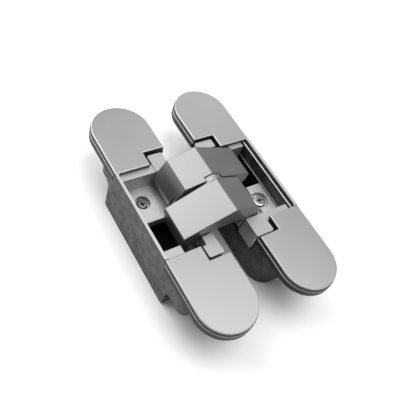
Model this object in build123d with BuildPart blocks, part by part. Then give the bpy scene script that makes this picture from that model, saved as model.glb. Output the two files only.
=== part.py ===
"""Concealed door hinge: two cast leaves joined by a pair of crossing link arms, modelled open flat."""

import os
from math import acos, asin, atan2, cos, hypot, pi, sin

from build123d import *

os.makedirs("parts", exist_ok=True)

# Driving dimensions in millimetres
# X runs from the frame leaf to the door leaf, Y along the leaves, Z up out of the plate faces.

# Cover plates
plate_length = 118.0
plate_width = 28.0
plate_spacing = 43.4
cap_thickness = 1.7
cap_inset = 0.5
cap_edge = 0.45
opening_y = 1.2
frame_opening_gap = 4.2
door_opening_gap = 3.2
frame_lug_gap = 1.4
door_lug_gap = 1.0
notch_inset = 11.0
seam_gap = 0.1
peg_radius = 1.3
peg_length = 3.0
peg_tip = 5.0
peg_side_x = 9.0
peg_side = 27.0

# Cast housings
housing_depth = 26.3
flange_thickness = 3.8
flange_edge = 0.3
groove_height = 0.5
groove_depth = 1.2
flange_lip = 0.3
wall_thickness = 1.4
frame_rim_width = 1.5
door_rim_width = 1.85
door_shelf = 1.85
lower_ledge = 0.4
ledge_drop = 8.6
lip_gap = 1.2
opening_round = 1.8
opening_tip = 0.4
pit_floor = 1.4
mouth_drop = 12.3
frame_near_step = 12.1
frame_near_drop = 14.8
frame_far_step = 9.0
frame_far_drop = 10.2
frame_near_wall = 6.2
frame_end_round = 3.5
frame_far_round = 3.5
frame_near_round = 2.0
door_near_wall = 18.1
door_far_wall = 9.4
door_end_round = 9.0
casting_edge = 1.0
screw_hole_radius = 2.4
screw_head_radius = 4.0
screw_x = 6.0
screw_end = 11.0

# Link set: its middle plane and the places of its pivots, measured from the plate faces
link_x = -1.0
link_y = 1.6
pivot_reach = 12.2
pivot_drop = 5.2
centre_rise = 4.5
slider_reach = 17.7
slider_drop = 9.7
closed_gap = 4.5

# Link arms
arm_gap = 1.0
arm_outer = 17.7
arm_relief = 1.2
eave_reach = 13.0
eave_rise = 5.6
ridge_rise = 9.7
ridge_round = 1.2
nose_reach = 23.3
nose_rise = 0.7
nose_height = 2.3
belly_drop = 0.9
heel_reach = 7.4
knee_reach = 8.3
leg_setback = 2.9
leg_rise = 2.8
hub_radius = 5.2
slider_hub_radius = 3.1
corner_round = 0.8
arm_edge = 0.35
knuckle_radius = 5.2
knuckle_end = 1.7
knuckle_clearance = 0.4
washer_thickness = 0.6
washer_gap = 0.2
running_clearance = 0.05

# Pins, bushes and sleeves
pin_radius = 2.2
bush_wall = 1.0
centre_pin_half = 13.0
pin_setback = 0.6
slider_pin_radius = 1.7
sleeve_wall = 0.5
slider_pin_start = 6.0
blind_gap = 0.3
pin_edge = 0.3

# Carriages
door_end_clearance = 0.25
inner_clearance = 0.3
carriage_drop = 1.9
shoulder_rise = 0.8
floor_drop = 10.8
floor_thickness = 4.2
pad_drop = 8.4
pad_start = 24.2
side_gap = 0.4
cheek_thickness = 4.2
frame_lug_length = 5.3
door_lug_length = 4.9
lug_rise = 0.4
lug_inner = 8.9
frame_lug_outer = 16.2
door_lug_outer = 18.2
frame_lug_thickness = 6.3
door_lug_thickness = 9.6
lug_round = 0.8
web_start = 0.7
web_end = 2.6
web_radius = 4.4
web_clearance = 0.3
beam_outer = 13.6
beam_drop = 10.6
seat_gap = 0.05
slide_clearance = 0.2
slot_clearance = 0.35
slider_clearance = 1.3
slider_slot_round = 1.0

# Adjustment and clamp screws
height_travel = 1.0
depth_travel = 1.0
frame_clamp_x = 25.0
frame_clamp_y = 10.6
door_clamp_x = 26.6
door_clamp_y = 8.8
frame_recess_radius = 3.4
frame_recess_depth = 2.4
door_recess_radius = 4.3
door_recess_depth = 1.7
frame_head_radius = 2.2
door_head_radius = 3.1
clamp_head_height = 1.4
clamp_head_round = 0.6
clamp_shank_radius = 1.6
clamp_grip = 6.0
drive_reach = 1.4
drive_width = 0.7
drive_depth = 0.8

# Places that follow from the driving dimensions
face_z = housing_depth
plate_half = plate_width / 2
body_half = plate_half - flange_lip
well_side = plate_half - wall_thickness
screw_y = plate_length / 2 - screw_end
peg_tip_y = plate_length / 2 - peg_tip
peg_side_y = plate_length / 2 - peg_side
flange_top = face_z - cap_thickness
flange_bottom = flange_top - flange_thickness
flange_drop = cap_thickness + flange_thickness
frame_x = -plate_spacing / 2
door_x = plate_spacing / 2
notch_x = plate_half - notch_inset
arm_inner = arm_gap / 2
cheek_inner = arm_outer + side_gap
cheek_outer = cheek_inner + cheek_thickness
floor_bottom = floor_drop + floor_thickness
well_half = cheek_outer + height_travel + slide_clearance
well_near = well_half - link_y
well_far = well_half + link_y
frame_deep_near = well_near + frame_near_wall
frame_deep_far = well_far + wall_thickness
frame_near_end = frame_deep_near + frame_near_step
frame_far_end = frame_deep_far + frame_far_step
door_near_end = well_near + door_near_wall
door_far_end = well_far + door_far_wall
frame_carriage_outer = link_x - frame_x + well_side - slide_clearance
door_well_outer = door_x - link_x + well_side - door_shelf - lower_ledge
door_carriage_outer = door_well_outer - depth_travel / 2 - door_end_clearance
carriage_inner = door_x - link_x - well_side + depth_travel / 2 + inner_clearance
well_drop = floor_bottom + seat_gap
pit_drop = housing_depth - pit_floor
carriage_depth = pit_drop - seat_gap
pit_edge = side_gap + height_travel + slide_clearance
pivot = (-pivot_reach, -pivot_drop)
centre = (0, centre_rise)
slider = (slider_reach, -slider_drop)
bush_radius = pin_radius + running_clearance + bush_wall
sleeve_radius = slider_pin_radius + sleeve_wall
slider_pin_end = cheek_outer - pin_setback
frame_lug_half = cheek_outer + frame_lug_length
door_lug_half = cheek_outer + door_lug_length
frame_notch_half = frame_lug_half + frame_lug_gap
door_notch_half = door_lug_half + door_lug_gap
frame_opening_half = arm_outer + frame_opening_gap
door_opening_half = arm_outer + door_opening_gap
lug_shift = opening_y - link_y
frame_clamp = (-frame_clamp_x, frame_clamp_y)
door_clamp = (-door_clamp_x, door_clamp_y)
frame_lug_bottom = carriage_drop + frame_lug_thickness
door_lug_bottom = carriage_drop + door_lug_thickness
hub_start = web_end + web_clearance
pocket_end = knuckle_end + washer_gap + washer_thickness
bore_radius = pin_radius + running_clearance
shoulder_drop = mouth_drop - shoulder_rise
relief_reach = nose_reach + corner_round
arm_low = slider_drop + slider_hub_radius


def section(y, side):
    """Plane across the link set, y away from its middle; side -1 is turned half round about Z."""
    return Plane(origin=(link_x, link_y + side * y, face_z), x_dir=(side, 0, 0), z_dir=(0, -side, 0))


def level(drop, side):
    """Plane level with the plate faces and lowered by drop, on the link set's own middle."""
    return Plane(origin=(link_x, link_y, face_z - drop), x_dir=(side, 0, 0), z_dir=(0, 0, 1))


def leaf_level(middle_x, middle_y, drop, side):
    """Plane level with the plate faces and lowered by drop, with x from a leaf's middle inwards."""
    return Plane(origin=(middle_x, middle_y, face_z - drop), x_dir=(side, 0, 0), z_dir=(0, 0, 1))


def rectangle(x_low, x_high, y_low, y_high, mode=Mode.ADD):
    """Rectangle between two corners of the sketch plane."""
    with Locations(((x_low + x_high) / 2, (y_low + y_high) / 2)):
        Rectangle(x_high - x_low, y_high - y_low, mode=mode)


def disc(middle, radius, mode=Mode.ADD):
    """Circle about a point of the sketch plane."""
    with Locations(middle):
        Circle(radius, mode=mode)


def round_corner(point, radius):
    """Round the corner of the open sketch that lies nearest to a point."""
    fillet(vertices().sort_by_distance(Vector(*point))[0], radius)


def touch(point, middle, radius, side):
    """Point where a line from a point outside touches a circle; side 1 is the anticlockwise one."""
    x = point[0] - middle[0]
    z = point[1] - middle[1]
    angle = atan2(z, x) + side * acos(radius / hypot(x, z))
    return (middle[0] + radius * cos(angle), middle[1] + radius * sin(angle))


def slider_track(share):
    """Place of an arm's slider in its carriage when the hinge has closed by a share of its swing."""
    radius = hypot(pivot_reach, pivot_drop + centre_rise)
    open_angle = atan2(pivot_drop + centre_rise, pivot_reach)
    swing = pi - open_angle - asin((pivot_drop + closed_gap / 2) / radius)
    angle = open_angle + swing * share
    turn = (pi - swing) * share
    x = -slider_reach
    z = -slider_drop - centre_rise
    return (
        -pivot_reach + radius * cos(angle) + x * cos(turn) - z * sin(turn),
        -pivot_drop + radius * sin(angle) + x * sin(turn) + z * cos(turn),
    )


track = [slider_track(step / 24) for step in range(25)]
slot_left = min(x for x, z in track) - sleeve_radius - slider_clearance
slot_right = max(x for x, z in track) + sleeve_radius + slider_clearance
slot_low = min(z for x, z in track) - sleeve_radius - slider_clearance


# Housings: zinc castings with a round-ended flange that sits in the mortise

def add_flange(middle_x, side, opening_half):
    """Flange with its upper edge broken, and a land on it that leaves a groove under the cover caps."""
    with BuildSketch(Plane.XY.offset(flange_bottom)) as flange:
        with Locations((middle_x, 0)):
            SlotOverall(plate_length, plate_width, rotation=90)
    extrude(flange.sketch, amount=flange_thickness - groove_height)
    chamfer(faces().sort_by(Axis.Z)[-1].edges(), flange_edge)
    with BuildSketch(Plane.XY.offset(flange_top - groove_height)) as land:
        with Locations((middle_x, 0)):
            SlotOverall(plate_length - 2 * groove_depth, plate_width - 2 * groove_depth, rotation=90)
    extrude(land.sketch, amount=groove_height)
    with BuildSketch(leaf_level(middle_x, opening_y, cap_thickness + groove_height, side)) as rim_foot:
        rectangle(-body_half, 0, -opening_half - lip_gap, opening_half + lip_gap)
    extrude(rim_foot.sketch, amount=groove_height)


def hollow_out(middle_x, side, opening_half, notch_half, lug_bottom, clamp, steps):
    """Stepped well for the carriage, slider pit, lug well, mouth and screw holes of one leaf."""
    with BuildSketch(leaf_level(middle_x, opening_y, flange_drop, side)) as lip:
        rectangle(-plate_width, -body_half, -opening_half - lip_gap, opening_half + lip_gap)
    extrude(lip.sketch, amount=flange_thickness, mode=Mode.SUBTRACT)
    for drop, ledge in steps:
        with BuildSketch(leaf_level(middle_x, link_y, drop, side)) as well:
            rectangle(ledge - well_side, well_side, -well_half, well_half)
        extrude(well.sketch, amount=drop, mode=Mode.SUBTRACT)
    with BuildSketch(leaf_level(middle_x, link_y, pit_drop, side)) as pit:
        rectangle(steps[-1][1] - well_side, well_side, -well_half, pit_edge)
    extrude(pit.sketch, amount=pit_drop, mode=Mode.SUBTRACT)
    with BuildSketch(leaf_level(middle_x, opening_y, lug_bottom + slide_clearance, side)) as lug_well:
        rectangle(notch_x, plate_width, -notch_half, notch_half)
    extrude(lug_well.sketch, amount=lug_bottom + slide_clearance, mode=Mode.SUBTRACT)
    with BuildSketch(leaf_level(middle_x, link_y, mouth_drop, side)) as mouth:
        rectangle(0, plate_width, -well_half, well_half)
    extrude(mouth.sketch, amount=mouth_drop, mode=Mode.SUBTRACT)
    with BuildSketch(level(well_drop + clamp_grip, side)) as thread:
        disc(clamp, clamp_shank_radius)
    extrude(thread.sketch, amount=clamp_grip, mode=Mode.SUBTRACT)
    with Locations((middle_x, 0, flange_top)):
        with GridLocations(2 * screw_x, 2 * screw_y, 2, 2):
            CounterSinkHole(screw_hole_radius, screw_head_radius, flange_thickness)
    with BuildSketch(Plane.XY.offset(flange_top)) as pegs:
        with Locations(*peg_places(middle_x, side)):
            Circle(peg_radius)
    extrude(pegs.sketch, amount=-flange_thickness, mode=Mode.SUBTRACT)


def add_rim(middle_x, side, opening_half, rim_width):
    """Rim that stands level with the caps along the outer side of the opening, hollow at its corners."""
    rim_half = opening_half - seam_gap
    rim_inner = rim_width - plate_half
    hollow = 2 * (rim_half + opening_tip)
    with BuildSketch(leaf_level(middle_x, opening_y, cap_thickness, side)) as rim:
        rectangle(-body_half, rim_inner + opening_round, -rim_half, rim_half)
        with Locations((rim_inner + 2 * opening_round, 0)):
            RectangleRounded(4 * opening_round, hollow, opening_round, mode=Mode.SUBTRACT)
    extrude(rim.sketch, amount=cap_thickness)


def peg_places(middle_x, side):
    """Middles of the pegs of both caps of a leaf."""
    places = []
    for end in (1, -1):
        places.append((middle_x, end * peg_tip_y))
        places.append((middle_x - side * peg_side_x, end * peg_side_y))
    return places


with BuildPart() as frame_housing:
    with BuildSketch(Plane.YZ.offset(frame_x - body_half)) as side_view:
        Polygon(
            (-frame_near_end, flange_bottom),
            (-frame_near_end, face_z - frame_near_drop),
            (-frame_deep_near, face_z - frame_near_drop),
            (-frame_deep_near, 0),
            (frame_deep_far, 0),
            (frame_deep_far, face_z - frame_far_drop),
            (frame_far_end, face_z - frame_far_drop),
            (frame_far_end, flange_bottom),
            align=None,
        )
        round_corner((frame_deep_far, face_z - frame_far_drop), frame_far_round)
        round_corner((-frame_deep_near, face_z - frame_near_drop), frame_near_round)
        round_corner((-frame_deep_near, 0), casting_edge)
        round_corner((frame_deep_far, 0), casting_edge)
    extrude(amount=2 * body_half)
    upright = frame_housing.edges().filter_by(Axis.Z).group_by(Axis.Y)
    fillet(upright[0] + upright[-1], frame_end_round)
    add_flange(frame_x, 1, frame_opening_half)
    frame_steps = [(well_drop, 0)]
    hollow_out(frame_x, 1, frame_opening_half, frame_notch_half, frame_lug_bottom, frame_clamp, frame_steps)
    add_rim(frame_x, 1, frame_opening_half, frame_rim_width)
frame_housing.part.label = "frame_housing"
export_step(frame_housing.part, "parts/frame_housing.step")

with BuildPart() as door_housing:
    with BuildSketch():
        with Locations((door_x, (door_far_end - door_near_end) / 2)):
            RectangleRounded(2 * body_half, door_near_end + door_far_end, door_end_round)
    extrude(amount=flange_bottom)
    fillet(door_housing.faces().sort_by(Axis.Z)[0].edges(), casting_edge)
    add_flange(door_x, -1, door_opening_half)
    door_steps = [(ledge_drop, door_shelf), (well_drop, door_shelf + lower_ledge)]
    hollow_out(door_x, -1, door_opening_half, door_notch_half, door_lug_bottom, door_clamp, door_steps)
    add_rim(door_x, -1, door_opening_half, door_rim_width)
door_housing.part.label = "door_housing"
export_step(door_housing.part, "parts/door_housing.step")


# Cover caps: satin plates with a stepped cut round the mechanism, pegged into the flange

for leaf, middle_x, side, opening_half, notch_half in (
    ("frame", frame_x, 1, frame_opening_half, frame_notch_half),
    ("door", door_x, -1, door_opening_half, door_notch_half),
):
    for place, end in (("far", 1), ("near", -1)):
        with BuildPart() as cap:
            with BuildSketch(leaf_level(middle_x, 0, cap_thickness, side)):
                SlotOverall(plate_length - 2 * cap_inset, plate_width - 2 * cap_inset, rotation=90)
                cut_y = side * (opening_y + end * (opening_half - plate_length / 2))
                notch_y = side * (opening_y + end * (notch_half - plate_length / 2))
                with Locations((0, cut_y)):
                    Rectangle(2 * plate_width, plate_length, mode=Mode.SUBTRACT)
                with Locations((notch_x + plate_width / 2, notch_y)):
                    Rectangle(plate_width, plate_length, mode=Mode.SUBTRACT)
            extrude(amount=cap_thickness)
            fillet(cap.faces().sort_by(Axis.Z)[-1].edges(), cap_edge)
            with BuildSketch(leaf_level(middle_x, 0, cap_thickness, side)):
                with Locations((0, side * end * peg_tip_y), (-peg_side_x, side * end * peg_side_y)):
                    Circle(peg_radius)
            extrude(amount=-peg_length)
        cap.part.label = f"{leaf}_cap_{place}"
        export_step(cap.part, f"parts/{leaf}_cap_{place}.step")


# Carriages: adjustable blocks that carry the fixed pivot of one arm and the slider slot of the other

for leaf, side, outer, lug_outer, lug_half, lug_bottom, clamp, seat_drop, recess_radius, recess_depth in (
    ("frame", 1, frame_carriage_outer, frame_lug_outer, frame_lug_half, frame_lug_bottom,
     frame_clamp, floor_drop, frame_recess_radius, frame_recess_depth),
    ("door", -1, door_carriage_outer, door_lug_outer, door_lug_half, door_lug_bottom,
     door_clamp, pad_drop, door_recess_radius, door_recess_depth),
):
    slot_x = depth_travel / 2 if leaf == "door" else 0
    slot_y = height_travel if leaf == "frame" else 0
    lug_end = lug_half + side * lug_shift
    with BuildPart() as carriage:
        with BuildSketch(section(cheek_outer, side)):
            Polygon(
                (-outer, -floor_bottom),
                (-carriage_inner, -floor_bottom),
                (-carriage_inner, -shoulder_drop),
                (-lug_inner, -shoulder_drop),
                (-lug_inner, -carriage_drop),
                (-outer, -carriage_drop),
                align=None,
            )
        extrude(amount=cheek_thickness)
        with BuildSketch(section(cheek_inner, side)):
            rectangle(-outer, -carriage_inner, -floor_bottom, -floor_drop)
            rectangle(-outer, -pad_start, -floor_bottom, -seat_drop)
        extrude(amount=cheek_inner - side_gap)
        with BuildSketch(section(web_end, side)):
            disc(pivot, web_radius)
            Polygon(
                pivot,
                (-pivot_reach, -floor_bottom),
                (-carriage_inner, -floor_bottom),
                (-carriage_inner, -shoulder_drop),
                (-lug_inner, -shoulder_drop),
                (-lug_inner, -pivot_drop),
                align=None,
            )
        extrude(amount=web_end - web_start)
        with BuildSketch(section(side_gap, side)):
            rectangle(-beam_outer, -carriage_inner, -carriage_depth, -beam_drop)
        extrude(amount=cheek_inner + side_gap)
        with BuildSketch(section(-cheek_inner, side)):
            Polygon(
                (-outer, -carriage_depth),
                (-carriage_inner, -carriage_depth),
                (-carriage_inner, -shoulder_drop),
                (-lug_inner, -shoulder_drop),
                (-lug_inner, -carriage_drop),
                (-outer, -carriage_drop),
                align=None,
            )
            rectangle(slot_left, slot_right, slot_low, 0, Mode.SUBTRACT)
            round_corner((slot_left, slot_low), slider_slot_round)
            round_corner((slot_right, slot_low), slider_slot_round)
        extrude(amount=cheek_thickness)
        with BuildSketch(level(lug_bottom, side)):
            rectangle(-lug_outer, -lug_inner, cheek_inner, lug_end)
            rectangle(-lug_outer, -lug_inner, lug_end - 2 * lug_half, -cheek_outer)
        extrude(amount=lug_bottom - carriage_drop + lug_rise)
        corners = carriage.edges().filter_by(Axis.Z).group_by(Axis.Y)
        fillet(corners[0] + corners[-1], lug_round)
        with BuildSketch(section(lug_end, side)):
            disc(pivot, pin_radius)
        extrude(amount=lug_end, mode=Mode.SUBTRACT)
        with BuildSketch(level(seat_drop, side)):
            disc(clamp, recess_radius)
        extrude(amount=-recess_depth, mode=Mode.SUBTRACT)
        with BuildSketch(level(seat_drop, side)):
            with Locations(clamp):
                RectangleRounded(
                    2 * (slot_x + clamp_shank_radius + slot_clearance),
                    2 * (slot_y + clamp_shank_radius + slot_clearance),
                    clamp_shank_radius,
                )
        extrude(amount=seat_drop - floor_bottom, mode=Mode.SUBTRACT)
    carriage.part.label = f"{leaf}_carriage"
    export_step(carriage.part, f"parts/{leaf}_carriage.step")


# Link arms: forged gables that lie side by side, each with a hub at one end and a slider leg at the other

def arm_outline():
    """Side view of an arm, on the open sketch."""
    eave = (-eave_reach, eave_rise)
    ridge = (0, ridge_rise)
    nose = (nose_reach, nose_rise)
    lip = (nose_reach, nose_rise - nose_height)
    leg = (slider_reach - leg_setback, leg_rise - slider_drop)
    knee = (knee_reach, -belly_drop)
    heel = (-heel_reach, -belly_drop)
    Polygon(
        pivot,
        touch(heel, pivot, hub_radius, -1),
        heel,
        knee,
        leg,
        touch(leg, slider, slider_hub_radius, 1),
        slider,
        touch(lip, slider, slider_hub_radius, -1),
        lip,
        nose,
        ridge,
        eave,
        touch(eave, pivot, hub_radius, 1),
        align=None,
    )
    disc(pivot, hub_radius)
    disc(slider, slider_hub_radius)
    for corner in (eave, nose, lip, knee, leg, heel):
        round_corner(corner, corner_round)
    round_corner(ridge, ridge_round)


def bore_arm(side, centre_radius, centre_start):
    """Relief along an arm's inner face, the web's pocket, and bores for the bush, centre and slider pin."""
    with BuildSketch(level(arm_low, side)) as relief:
        Polygon(
            (-relief_reach, 0),
            (relief_reach, 0),
            (relief_reach, arm_inner + arm_relief),
            (knuckle_radius, arm_inner),
            (-knuckle_radius, arm_inner),
            (-relief_reach, arm_inner + arm_relief),
            align=None,
        )
    extrude(relief.sketch, amount=arm_low + ridge_rise, mode=Mode.SUBTRACT)
    with BuildSketch(section(hub_start, side)) as pocket:
        disc(pivot, hub_radius + web_clearance)
    extrude(pocket.sketch, amount=hub_start, mode=Mode.SUBTRACT)
    with BuildSketch(section(arm_outer, side)) as hub:
        disc(pivot, bush_radius)
    extrude(hub.sketch, amount=arm_outer, mode=Mode.SUBTRACT)
    with BuildSketch(section(centre_pin_half + blind_gap, side)) as middle:
        disc(centre, centre_radius)
    extrude(middle.sketch, amount=centre_pin_half + blind_gap - centre_start, mode=Mode.SUBTRACT)
    with BuildSketch(section(arm_outer, side)) as end:
        disc(slider, slider_pin_radius)
    extrude(end.sketch, amount=arm_outer - slider_pin_start, mode=Mode.SUBTRACT)


with BuildPart() as rear_arm:
    with BuildSketch(section(arm_outer, 1)):
        arm_outline()
    extrude(amount=arm_outer - arm_inner)
    fillet(rear_arm.faces().sort_by(Axis.Y)[-1].edges(), arm_edge)
    with BuildSketch(section(pocket_end, 1)):
        disc(centre, knuckle_radius + knuckle_clearance)
    extrude(amount=pocket_end, mode=Mode.SUBTRACT)
    bore_arm(1, bush_radius, 0)
rear_arm.part.label = "rear_arm"
export_step(rear_arm.part, "parts/rear_arm.step")

with BuildPart() as front_arm:
    with BuildSketch(section(arm_outer, -1)):
        arm_outline()
    extrude(amount=arm_outer - arm_inner)
    fillet(front_arm.faces().sort_by(Axis.Y)[0].edges(), arm_edge)
    bore_arm(-1, pin_radius, -knuckle_end)
    with BuildSketch(section(-knuckle_end, -1)):
        disc(centre, knuckle_radius)
        disc(centre, pin_radius, Mode.SUBTRACT)
    extrude(amount=-knuckle_end - corner_round)
front_arm.part.label = "front_arm"
export_step(front_arm.part, "parts/front_arm.step")


# Pins, bushes, washer and sleeves of the link set

with BuildPart() as centre_pin:
    with BuildSketch(section(centre_pin_half, 1)):
        disc(centre, pin_radius)
    extrude(amount=2 * centre_pin_half)
    chamfer(centre_pin.edges().filter_by(GeomType.CIRCLE), pin_edge)
centre_pin.part.label = "centre_pin"
export_step(centre_pin.part, "parts/centre_pin.step")

with BuildPart() as centre_bush:
    with BuildSketch(section(centre_pin_half, 1)):
        disc(centre, bush_radius)
        disc(centre, bore_radius, Mode.SUBTRACT)
    extrude(amount=centre_pin_half - pocket_end)
centre_bush.part.label = "centre_bush"
export_step(centre_bush.part, "parts/centre_bush.step")

with BuildPart() as centre_washer:
    with BuildSketch(section(pocket_end, 1)):
        disc(centre, knuckle_radius)
        disc(centre, bore_radius + knuckle_clearance, Mode.SUBTRACT)
    extrude(amount=washer_thickness)
centre_washer.part.label = "centre_washer"
export_step(centre_washer.part, "parts/centre_washer.step")

for leaf, side, lug_half in (("frame", 1, frame_lug_half), ("door", -1, door_lug_half)):
    pin_end = lug_half + side * lug_shift - pin_setback
    with BuildPart() as pivot_pin:
        with BuildSketch(section(pin_end, side)):
            disc(pivot, pin_radius)
        extrude(amount=pin_end - web_start)
        chamfer(pivot_pin.edges().filter_by(GeomType.CIRCLE), pin_edge)
    pivot_pin.part.label = f"{leaf}_pivot_pin"
    export_step(pivot_pin.part, f"parts/{leaf}_pivot_pin.step")

    with BuildPart() as pivot_bush:
        with BuildSketch(section(arm_outer, side)):
            disc(pivot, bush_radius)
            disc(pivot, bore_radius, Mode.SUBTRACT)
        extrude(amount=arm_outer - hub_start)
    pivot_bush.part.label = f"{leaf}_pivot_bush"
    export_step(pivot_bush.part, f"parts/{leaf}_pivot_bush.step")

for arm, side in (("rear", 1), ("front", -1)):
    with BuildPart() as slider_pin:
        with BuildSketch(section(slider_pin_end, side)):
            disc(slider, slider_pin_radius)
        extrude(amount=slider_pin_end - slider_pin_start)
        chamfer(slider_pin.edges().filter_by(GeomType.CIRCLE), pin_edge)
    slider_pin.part.label = f"{arm}_slider_pin"
    export_step(slider_pin.part, f"parts/{arm}_slider_pin.step")

    with BuildPart() as slide_sleeve:
        with BuildSketch(section(slider_pin_end - pin_edge, side)):
            disc(slider, sleeve_radius)
            disc(slider, slider_pin_radius, Mode.SUBTRACT)
        extrude(amount=slider_pin_end - pin_edge - arm_outer)
    slide_sleeve.part.label = f"{arm}_slide_sleeve"
    export_step(slide_sleeve.part, f"parts/{arm}_slide_sleeve.step")


# Clamp screws: cross-head screws that hold the carriages on the platforms of the housings

for leaf, side, clamp, head_seat, head_radius in (
    ("frame", 1, frame_clamp, floor_drop + frame_recess_depth - seat_gap, frame_head_radius),
    ("door", -1, door_clamp, pad_drop + door_recess_depth - seat_gap, door_head_radius),
):
    with BuildPart() as clamp_screw:
        with BuildSketch(level(head_seat, side)):
            disc(clamp, head_radius)
        extrude(amount=clamp_head_height)
        fillet(clamp_screw.edges().sort_by(Axis.Z)[-1], clamp_head_round)
        with BuildSketch(level(head_seat, side)):
            disc(clamp, clamp_shank_radius)
        extrude(amount=-(well_drop - head_seat + clamp_grip))
        with BuildSketch(level(head_seat - clamp_head_height, side)):
            with Locations(clamp):
                Rectangle(2 * drive_reach, drive_width)
                Rectangle(drive_width, 2 * drive_reach)
        extrude(amount=-drive_depth, mode=Mode.SUBTRACT)
    clamp_screw.part.label = f"{leaf}_clamp_screw"
    export_step(clamp_screw.part, f"parts/{leaf}_clamp_screw.step")
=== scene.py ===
import math

import bpy
from mathutils import Matrix, Vector


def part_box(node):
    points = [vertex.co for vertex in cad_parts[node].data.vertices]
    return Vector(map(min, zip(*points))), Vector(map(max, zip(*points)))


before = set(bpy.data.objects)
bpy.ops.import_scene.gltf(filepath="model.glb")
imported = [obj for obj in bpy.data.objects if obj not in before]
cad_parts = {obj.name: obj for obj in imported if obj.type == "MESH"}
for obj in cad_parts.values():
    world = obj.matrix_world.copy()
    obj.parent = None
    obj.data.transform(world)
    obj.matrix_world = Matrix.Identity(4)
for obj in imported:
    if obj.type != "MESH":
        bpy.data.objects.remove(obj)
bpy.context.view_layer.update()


# Housings: the two zinc die castings that fill the mortises in door and frame. Their skin is left as
# cast, dull, clouded and pitted. Only the rim beside the opening is coated to match the caps. The
# flange edges and the ledges in the opening carry painted highlights, and the flange sides and the
# pit under the arms carry painted shade.

def cast_skin(name, dark, light, roughness, cloud_size, pit_size, pit_depth):
    """Skin of a die casting: clouded grey with small darker pits, and a bump that follows the pits.

    tone = 0.65 * noise(position / cloud_size) + 0.35 * noise(position / pit_size), spread between the
    dark and the light grey; the height of the skin is the second noise times pit_depth.
    """
    material = bpy.data.materials.new(name)
    material.use_nodes = True
    nodes = material.node_tree.nodes
    links = material.node_tree.links
    shader = nodes["Principled BSDF"]
    shader.inputs["Metallic"].default_value = 0.6
    shader.inputs["Roughness"].default_value = roughness

    place = nodes.new("ShaderNodeTexCoord")
    clouds = nodes.new("ShaderNodeTexNoise")
    clouds.inputs["Scale"].default_value = 1 / cloud_size
    clouds.inputs["Detail"].default_value = 4.0
    clouds.inputs["Roughness"].default_value = 0.6
    links.new(place.outputs["Object"], clouds.inputs["Vector"])
    pits = nodes.new("ShaderNodeTexNoise")
    pits.inputs["Scale"].default_value = 1 / pit_size
    pits.inputs["Detail"].default_value = 3.0
    links.new(place.outputs["Object"], pits.inputs["Vector"])

    blend = nodes.new("ShaderNodeMix")
    blend.inputs["Factor"].default_value = 0.35
    links.new(clouds.outputs["Fac"], blend.inputs["A"])
    links.new(pits.outputs["Fac"], blend.inputs["B"])
    tones = nodes.new("ShaderNodeValToRGB")
    tones.color_ramp.elements[0].position = 0.36
    tones.color_ramp.elements[0].color = (dark, dark, dark, 1)
    tones.color_ramp.elements[1].position = 0.64
    tones.color_ramp.elements[1].color = (light, light, light, 1)
    links.new(blend.outputs["Result"], tones.inputs["Fac"])
    links.new(tones.outputs["Color"], shader.inputs["Base Color"])

    bump = nodes.new("ShaderNodeBump")
    bump.name = "pit_bump"
    bump.inputs["Strength"].default_value = 0.7
    bump.inputs["Distance"].default_value = pit_depth
    links.new(pits.outputs["Fac"], bump.inputs["Height"])
    links.new(bump.outputs["Normal"], shader.inputs["Normal"])
    return material


def zone(material, reading, axis, middle, reach):
    """Mask of a slab: 1 where the place (Object) or the slope (Normal) of a point, read along an axis,
    is within reach of middle, and 0 elsewhere.
    """
    nodes = material.node_tree.nodes
    links = material.node_tree.links
    place = nodes.new("ShaderNodeTexCoord")
    split = nodes.new("ShaderNodeSeparateXYZ")
    links.new(place.outputs[reading], split.inputs["Vector"])
    near = nodes.new("ShaderNodeMath")
    near.operation = "COMPARE"
    near.inputs[1].default_value = middle
    near.inputs[2].default_value = reach
    links.new(split.outputs[axis], near.inputs[0])
    return near.outputs["Value"]


def where(material, operation, first, *others):
    """Masks joined one after another: MULTIPLY where all of them hold, MAXIMUM where any does."""
    for other in others:
        both = material.node_tree.nodes.new("ShaderNodeMath")
        both.operation = operation
        material.node_tree.links.new(first, both.inputs[0])
        material.node_tree.links.new(other, both.inputs[1])
        first = both.outputs["Value"]
    return first


def paint(material, mask, tone):
    """Lay a tone over the colour that a material has so far, where a mask is 1."""
    links = material.node_tree.links
    colour = material.node_tree.nodes["Principled BSDF"].inputs["Base Color"]
    coat = material.node_tree.nodes.new("ShaderNodeMix")
    coat.data_type = "RGBA"
    coat.inputs["B"].default_value = (*tone, 1)
    links.new(mask, coat.inputs["Factor"])
    links.new(colour.links[0].from_socket, coat.inputs["A"])
    links.new(coat.outputs["Result"], colour)


def dress(material, *names):
    """Give the named CAD nodes one material."""
    for name in names:
        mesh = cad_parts[name].data
        mesh.materials.clear()
        mesh.materials.append(material)


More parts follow.
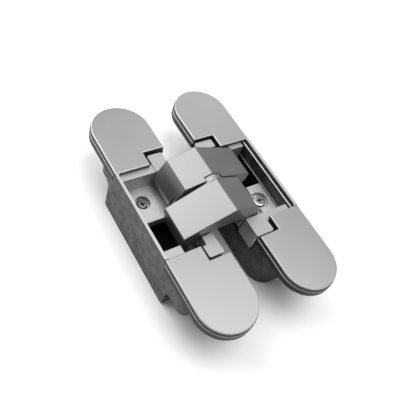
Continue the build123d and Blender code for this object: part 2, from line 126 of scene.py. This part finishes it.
flange_shade = (0.022, 0.022, 0.022)
painted_pit_shade = (0.014, 0.014, 0.014)
painted_edge_highlight = (0.36, 0.36, 0.365)
painted_ledge_highlight = (0.62, 0.62, 0.63)
rim_coat = (0.40, 0.40, 0.405)
cap_thickness = 0.0017
edge_drop = 0.00235
edge_reach = 0.0002
ledge_drop = 0.0086
level_reach = 0.00005
flange_drop = 0.004
flange_reach = 0.00145
pit_top = 0.017
pit_reach = 0.0083
well_half_width = 0.01145
well_half_length = 0.0236
pin_low, pin_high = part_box("centre_pin")
link_y = (pin_low.y + pin_high.y) / 2
face_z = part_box("frame_housing")[1].z
# The door housing's tone is set below the frame's, as painted shade for its side in the gap between the
# leaves.
for node, name, dark, light in (
    ("frame_housing", "frame_casting", 0.026, 0.118),
    ("door_housing", "door_casting", 0.025, 0.09),
):
    casting = cast_skin(
        name, dark, light, roughness=0.5, cloud_size=0.0045, pit_size=0.0008, pit_depth=0.00016,
    )
    low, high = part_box(node)

    # Sides of the flange under the caps, in the shade of their lip.
    flange_z = zone(casting, "Object", "Z", face_z - flange_drop, flange_reach)
    far_end_y = zone(casting, "Object", "Y", high.y, high.y - link_y - well_half_length)
    near_end_y = zone(casting, "Object", "Y", low.y, link_y - low.y - well_half_length)
    ends_y = where(casting, "MAXIMUM", far_end_y, near_end_y)
    paint(casting, where(casting, "MULTIPLY", flange_z, ends_y), flange_shade)

    # Pit under the arms, painted dark as shade.
    well_x = zone(casting, "Object", "X", (low.x + high.x) / 2, well_half_width)
    well_y = zone(casting, "Object", "Y", link_y, well_half_length)
    pit_z = zone(casting, "Object", "Z", pit_top - pit_reach, pit_reach)
    paint(casting, where(casting, "MULTIPLY", well_x, well_y, pit_z), painted_pit_shade)

    # Broken edge of the flange, given a painted highlight.
    edge_z = zone(casting, "Object", "Z", face_z - edge_drop, edge_reach)
    slanted = zone(casting, "Normal", "Z", 0.7, 0.15)
    paint(casting, where(casting, "MULTIPLY", edge_z, slanted), painted_edge_highlight)

    # Level shelf and ledge in the opening where the carriage slides, given a painted highlight.
    shelf_z = zone(casting, "Object", "Z", face_z - cap_thickness, level_reach)
    ledge_z = zone(casting, "Object", "Z", face_z - ledge_drop, level_reach)
    ledges = where(casting, "MAXIMUM", shelf_z, ledge_z)
    upward = zone(casting, "Normal", "Z", 1.0, 0.1)
    paint(casting, where(casting, "MULTIPLY", ledges, well_x, well_y, upward), painted_ledge_highlight)

    # Top of the rim, coated smooth, so its pits are filled.
    rim_z = zone(casting, "Object", "Z", face_z, level_reach)
    paint(casting, rim_z, rim_coat)
    filled = casting.node_tree.nodes.new("ShaderNodeMapRange")
    filled.inputs["To Min"].default_value = 0.7
    filled.inputs["To Max"].default_value = 0.05
    casting.node_tree.links.new(rim_z, filled.inputs["Value"])
    strength = casting.node_tree.nodes["pit_bump"].inputs["Strength"]
    casting.node_tree.links.new(filled.outputs["Result"], strength)
    dress(casting, node)


# Carriages: zinc castings that slide in the housings for adjustment, tumbled and plated, so that their
# skin is paler and more even than the housings'. The tops of the lugs and cheeks, which show beside
# the caps, are coated like them.

top_coat = (0.335, 0.335, 0.34)
top_drop = 0.0014
top_reach = 0.0012
grey_casting = cast_skin(
    "grey_casting", 0.38, 0.48, roughness=0.45, cloud_size=0.006, pit_size=0.0007, pit_depth=0.00004,
)
paint(grey_casting, zone(grey_casting, "Object", "Z", face_z - top_drop, top_reach), top_coat)
dress(grey_casting, "frame_carriage", "door_carriage")


# Clamp screws: cold-headed steel screws with a cross drive, bright plated. They hold the carriages
# down on the platforms of the housings, and the plating has the faint ripple of barrel work.

def plated_steel(name, tone, roughness, ripple_size, stretch):
    """Bright metal with a faint ripple.

    tone drifts by a tenth with noise(stretch * position / ripple_size), and so does the roughness; a
    stretch above 1 along an axis draws the ripple into rings across that axis.
    """
    material = bpy.data.materials.new(name)
    material.use_nodes = True
    nodes = material.node_tree.nodes
    links = material.node_tree.links
    shader = nodes["Principled BSDF"]
    shader.inputs["Metallic"].default_value = 1.0

    place = nodes.new("ShaderNodeTexCoord")
    drawn = nodes.new("ShaderNodeMapping")
    drawn.inputs["Scale"].default_value = stretch
    links.new(place.outputs["Object"], drawn.inputs["Vector"])
    ripple = nodes.new("ShaderNodeTexNoise")
    ripple.inputs["Scale"].default_value = 1 / ripple_size
    ripple.inputs["Detail"].default_value = 2.0
    links.new(drawn.outputs["Vector"], ripple.inputs["Vector"])
    tones = nodes.new("ShaderNodeValToRGB")
    tones.color_ramp.elements[0].color = (*[0.9 * part for part in tone], 1)
    tones.color_ramp.elements[1].color = (*tone, 1)
    links.new(ripple.outputs["Fac"], tones.inputs["Fac"])
    links.new(tones.outputs["Color"], shader.inputs["Base Color"])
    gloss = nodes.new("ShaderNodeMapRange")
    gloss.inputs["To Min"].default_value = 0.8 * roughness
    gloss.inputs["To Max"].default_value = 1.2 * roughness
    links.new(ripple.outputs["Fac"], gloss.inputs["Value"])
    links.new(gloss.outputs["Result"], shader.inputs["Roughness"])
    return material


drive_shade = (0.03, 0.03, 0.03)
drive_drop = 0.0004
screw_reach = 0.02
# The frame screw is given a dark tone as painted shade of its deep recess.
for node, name, tone, roughness in (
    ("door_clamp_screw", "plated_screw", (0.80, 0.80, 0.81), 0.16),
    ("frame_clamp_screw", "screw_in_painted_shade", (0.22, 0.22, 0.225), 0.45),
):
    plating = plated_steel(name, tone, roughness, ripple_size=0.0008, stretch=(1, 1, 1))
    head_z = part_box(node)[1].z
    # Below the top face of the head each screw is painted dark, as painted shade in the cross drive.
    sunk = zone(plating, "Object", "Z", head_z - drive_drop - screw_reach, screw_reach)
    paint(plating, sunk, drive_shade)
    dress(plating, node)


# Link arms: solid zinc gables that carry the door between them. They are ground, then coated satin
# silver, which leaves an even sheen with a very fine grain.

def satin_coat(name, tone, roughness, drift_size, grain_size, grain_height):
    """Satin silver coat over smooth metal.

    tone drifts by a twentieth with noise(position / drift_size), the roughness by a tenth with the
    same noise, and a fine noise(position / grain_size) times grain_height gives the grain.
    """
    material = bpy.data.materials.new(name)
    material.use_nodes = True
    nodes = material.node_tree.nodes
    links = material.node_tree.links
    shader = nodes["Principled BSDF"]
    shader.inputs["Metallic"].default_value = 0.85

    place = nodes.new("ShaderNodeTexCoord")
    drift = nodes.new("ShaderNodeTexNoise")
    drift.inputs["Scale"].default_value = 1 / drift_size
    drift.inputs["Detail"].default_value = 3.0
    links.new(place.outputs["Object"], drift.inputs["Vector"])
    tones = nodes.new("ShaderNodeValToRGB")
    tones.color_ramp.elements[0].color = (*[0.95 * part for part in tone], 1)
    tones.color_ramp.elements[1].color = (*[1.05 * part for part in tone], 1)
    links.new(drift.outputs["Fac"], tones.inputs["Fac"])
    links.new(tones.outputs["Color"], shader.inputs["Base Color"])
    gloss = nodes.new("ShaderNodeMapRange")
    gloss.inputs["To Min"].default_value = 0.9 * roughness
    gloss.inputs["To Max"].default_value = 1.1 * roughness
    links.new(drift.outputs["Fac"], gloss.inputs["Value"])
    links.new(gloss.outputs["Result"], shader.inputs["Roughness"])

    grain = nodes.new("ShaderNodeTexNoise")
    grain.inputs["Scale"].default_value = 1 / grain_size
    grain.inputs["Detail"].default_value = 2.0
    links.new(place.outputs["Object"], grain.inputs["Vector"])
    bump = nodes.new("ShaderNodeBump")
    bump.inputs["Strength"].default_value = 0.4
    bump.inputs["Distance"].default_value = grain_height
    links.new(grain.outputs["Fac"], bump.inputs["Height"])
    links.new(bump.outputs["Normal"], shader.inputs["Normal"])
    return material


satin_arm = satin_coat(
    "satin_arm", (0.258, 0.258, 0.263), roughness=0.36,
    drift_size=0.012, grain_size=0.0003, grain_height=0.000012,
)
dress(satin_arm, "rear_arm", "front_arm")


# Pins: steel rod ground to size, so fine rings run round it. The centre pin joins the two arms, the
# pivot pins are pressed into the carriages and the slider pins into the legs of the arms.

ground_steel = plated_steel(
    "bright_steel", (0.58, 0.58, 0.58), roughness=0.28, ripple_size=0.003, stretch=(1, 12, 1),
)
dress(ground_steel, "centre_pin", "frame_pivot_pin", "door_pivot_pin", "rear_slider_pin", "front_slider_pin")


# Bushes and washer: black bearing plastic moulded to size, pressed into the arms so that they turn
# quietly on the pins.

def moulded_plastic(name, dark, light, speck_size, speck_height):
    """Moulded bearing plastic: its tone drifts between two greys with noise(position / speck_size), and
    the same noise times speck_height roughens it.
    """
    material = bpy.data.materials.new(name)
    material.use_nodes = True
    nodes = material.node_tree.nodes
    links = material.node_tree.links
    shader = nodes["Principled BSDF"]
    shader.inputs["Roughness"].default_value = 0.5
    place = nodes.new("ShaderNodeTexCoord")
    specks = nodes.new("ShaderNodeTexNoise")
    specks.inputs["Scale"].default_value = 1 / speck_size
    specks.inputs["Detail"].default_value = 3.0
    links.new(place.outputs["Object"], specks.inputs["Vector"])
    tones = nodes.new("ShaderNodeValToRGB")
    tones.color_ramp.elements[0].position = 0.35
    tones.color_ramp.elements[0].color = (dark, dark, dark, 1)
    tones.color_ramp.elements[1].position = 0.65
    tones.color_ramp.elements[1].color = (light, light, light, 1)
    links.new(specks.outputs["Fac"], tones.inputs["Fac"])
    links.new(tones.outputs["Color"], shader.inputs["Base Color"])
    bump = nodes.new("ShaderNodeBump")
    bump.inputs["Strength"].default_value = 0.3
    bump.inputs["Distance"].default_value = speck_height
    links.new(specks.outputs["Fac"], bump.inputs["Height"])
    links.new(bump.outputs["Normal"], shader.inputs["Normal"])
    return material


bearing = moulded_plastic("bush", 0.025, 0.05, speck_size=0.0006, speck_height=0.00002)
dress(bearing, "centre_bush", "frame_pivot_bush", "door_pivot_bush", "centre_washer")


# Sleeves: short tubes of black bearing plastic on the slider pins, which run down the slots of the
# carriages as the hinge shuts.

slider_plastic = moulded_plastic("sleeve", 0.02, 0.04, speck_size=0.0008, speck_height=0.00002)
dress(slider_plastic, "rear_slide_sleeve", "front_slide_sleeve")


# Cover caps: thin cast plates pegged over the screw heads when the hinge is hung. They carry the same
# satin silver coat as the arms, with a painted highlight along the rounded edge and painted shade on
# their sides.

side_shade = (0.10, 0.10, 0.103)
painted_lip_highlight = (0.56, 0.56, 0.565)
side_drop = 0.0006
satin_cap = satin_coat(
    "satin_cap", (0.29, 0.29, 0.295), roughness=0.42,
    drift_size=0.012, grain_size=0.0003, grain_height=0.000010,
)
# The sides below the rounded edge are painted dark, as painted shade.
side = zone(satin_cap, "Object", "Z", face_z - side_drop - cap_thickness, cap_thickness)
paint(satin_cap, side, side_shade)
# The rounded edge is painted bright, as a painted highlight.
rounded = zone(satin_cap, "Normal", "Z", 0.65, 0.3)
paint(satin_cap, rounded, painted_lip_highlight)
dress(satin_cap, "frame_cap_far", "frame_cap_near", "door_cap_far", "door_cap_near")


# Floor: a plain white sheet under the housings, wide enough to fill every view. It is part of the
# stage and no part of the hinge.

floor_half = 2.0
floor_mesh = bpy.data.meshes.new("floor")
floor_mesh.from_pydata(
    [
        (-floor_half, -floor_half, 0),
        (floor_half, -floor_half, 0),
        (floor_half, floor_half, 0),
        (-floor_half, floor_half, 0),
    ],
    [],
    [(0, 1, 2, 3)],
)
floor = bpy.data.objects.new("floor", floor_mesh)
bpy.context.scene.collection.objects.link(floor)
pale = bpy.data.materials.new("pale_floor")
pale.use_nodes = True
pale.node_tree.nodes["Principled BSDF"].inputs["Base Color"].default_value = (0.92, 0.92, 0.92, 1)
pale.node_tree.nodes["Principled BSDF"].inputs["Roughness"].default_value = 0.8
floor_mesh.materials.append(pale)


# Light: a dim white room, and four soft square panels that stand round and over the hinge. The key
# panel lights the left slopes of the arms, and the small far panel shines along the far caps.

def panel(name, azimuth, elevation, size, power):
    """Square soft light at an azimuth and elevation, aimed at the hinge from panel_distance."""
    data = bpy.data.lights.new(name, "AREA")
    data.size = size
    data.energy = power
    light = bpy.data.objects.new(name, data)
    turn = math.radians(azimuth)
    rise = math.radians(elevation)
    back = Vector((
        math.sin(turn) * math.cos(rise),
        -math.cos(turn) * math.cos(rise),
        math.sin(rise),
    ))
    aim = back.to_track_quat("Z", "Y").to_matrix().to_4x4()
    light.matrix_world = Matrix.Translation(back * panel_distance) @ aim
    bpy.context.scene.collection.objects.link(light)


panel_distance = 0.8
panel("key_panel", azimuth=-150, elevation=44, size=0.7, power=5.2)
panel("side_panel", azimuth=60, elevation=75, size=0.7, power=4.3)
panel("ceiling_panel", azimuth=120, elevation=75, size=0.7, power=1.15)
panel("far_panel", azimuth=136, elevation=34, size=0.3, power=0.7)
room = bpy.data.worlds.new("room")
room.use_nodes = True
room.node_tree.nodes["Background"].inputs["Color"].default_value = (1, 1, 1, 1)
room.node_tree.nodes["Background"].inputs["Strength"].default_value = 0.3
bpy.context.scene.world = room
bpy.context.scene.view_settings.view_transform = "Standard"


# Camera: above the near end of the frame leaf, tilted over to the right as in the photograph.

azimuth = math.radians(-53.63)
elevation = math.radians(51.84)
roll = math.radians(26.82)
distance = 0.20869
target = Vector((-0.00588, -0.00722, 0.0263))
back = Vector((
    math.sin(azimuth) * math.cos(elevation),
    -math.cos(azimuth) * math.cos(elevation),
    math.sin(elevation),
))
level_right = Vector((math.cos(azimuth), math.sin(azimuth), 0))
level_up = back.cross(level_right)
right = math.cos(roll) * level_right + math.sin(roll) * level_up
up = back.cross(right)
lens = bpy.data.cameras.new("camera")
lens.sensor_width = 36.0
lens.lens = 42.16
lens.clip_start = 0.01
camera = bpy.data.objects.new("camera", lens)
aim = Matrix((right, up, back)).transposed().to_4x4()
camera.matrix_world = Matrix.Translation(target + distance * back) @ aim
bpy.context.scene.collection.objects.link(camera)
bpy.context.scene.camera = camera
